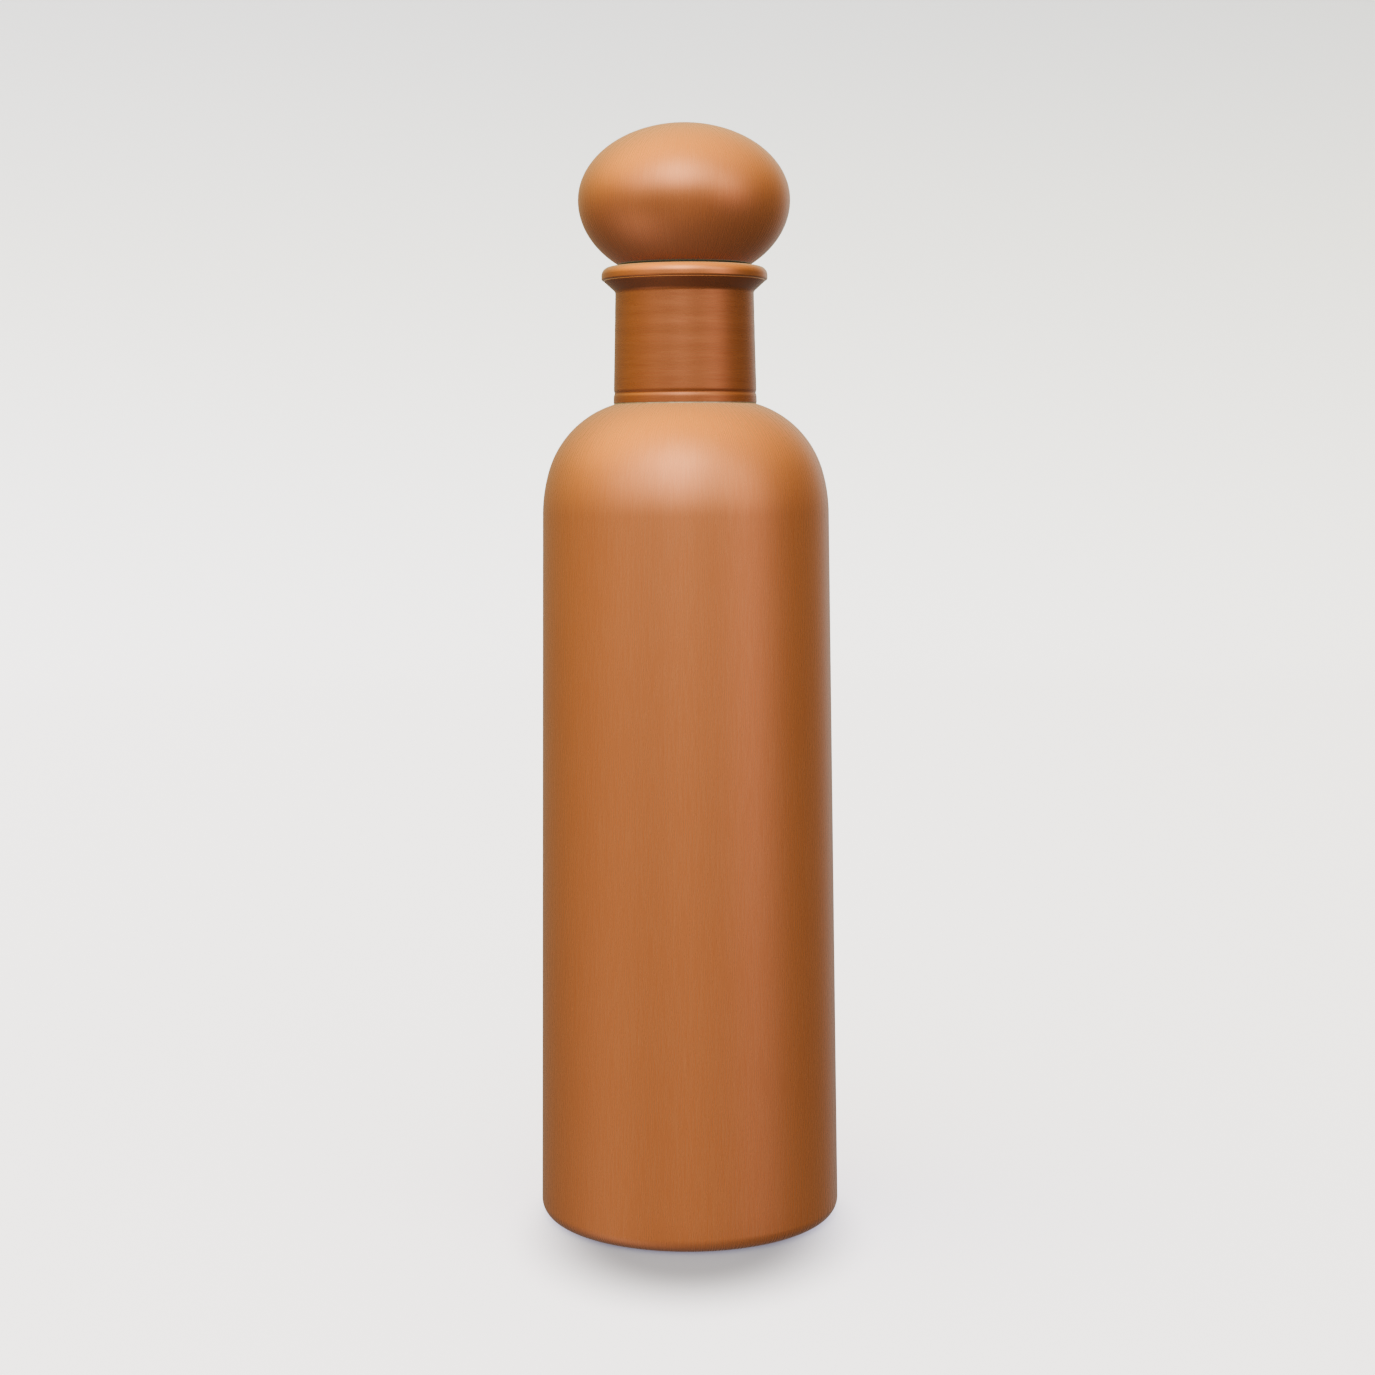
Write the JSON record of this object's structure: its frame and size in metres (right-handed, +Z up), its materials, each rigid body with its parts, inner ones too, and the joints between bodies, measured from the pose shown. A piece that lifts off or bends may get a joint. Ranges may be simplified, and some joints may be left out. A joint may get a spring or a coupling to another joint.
{
  "type": "copper water bottle with screw-in ball lid",
  "caption": "Spun copper water bottle with a tall tapered body, a narrow neck and a hollow ball lid that screws into the neck.",
  "frame": {"origin": "centre of the foot ring, on the surface the bottle stands on", "axes": "+Z up along the bottle's axis, towards the lid; the bottle is round, so +X and +Y are free"},
  "size_m": [0.0758, 0.0758, 0.2745],
  "materials": {
    "copper_brushed": "copper sheet, fine brushing, satin",
    "copper_spun": "copper, turned lines, satin to half-bright",
    "brass": "machined brass, satin",
    "silver_solder": "run solder, dull",
    "silicone": "dark silicone, matt",
    "steel": "stainless steel, as machined"
  },
  "bodies": {
    "bottle": {"body_shell": "copper_brushed", "base_plate": "copper_brushed", "base_braze_ring": "silver_solder", "neck_tube": "copper_spun", "neck_braze_ring": "silver_solder", "rim_ring": "copper_spun", "thread_bush": "brass"},
    "gasket": {"lid_gasket": "silicone"},
    "lid": {"threaded_plug": "brass", "plug_cap": "copper_spun", "spring_washer": "steel", "fixing_screw": "steel", "knob_boss": "brass", "knob_cup": "copper_brushed", "knob_backing_ring": "copper_brushed", "knob_crown": "copper_brushed"}
  },
  "joints": [
    {"name": "lid_rise", "type": "slide", "parent": "bottle", "child": "gasket", "axis": [0, 0, 1], "range_m": [0, 0.03]},
    {"name": "lid_turn", "type": "hinge", "parent": "gasket", "child": "lid", "pos_m": [0, 0, 0.2399], "axis": [0, 0, 1], "range_deg": [0, 1800]}
  ],
  "couplings": [
    {"joint": "lid_rise", "follows": "lid_turn", "m_per_rad": 0.00095493}
  ]
}
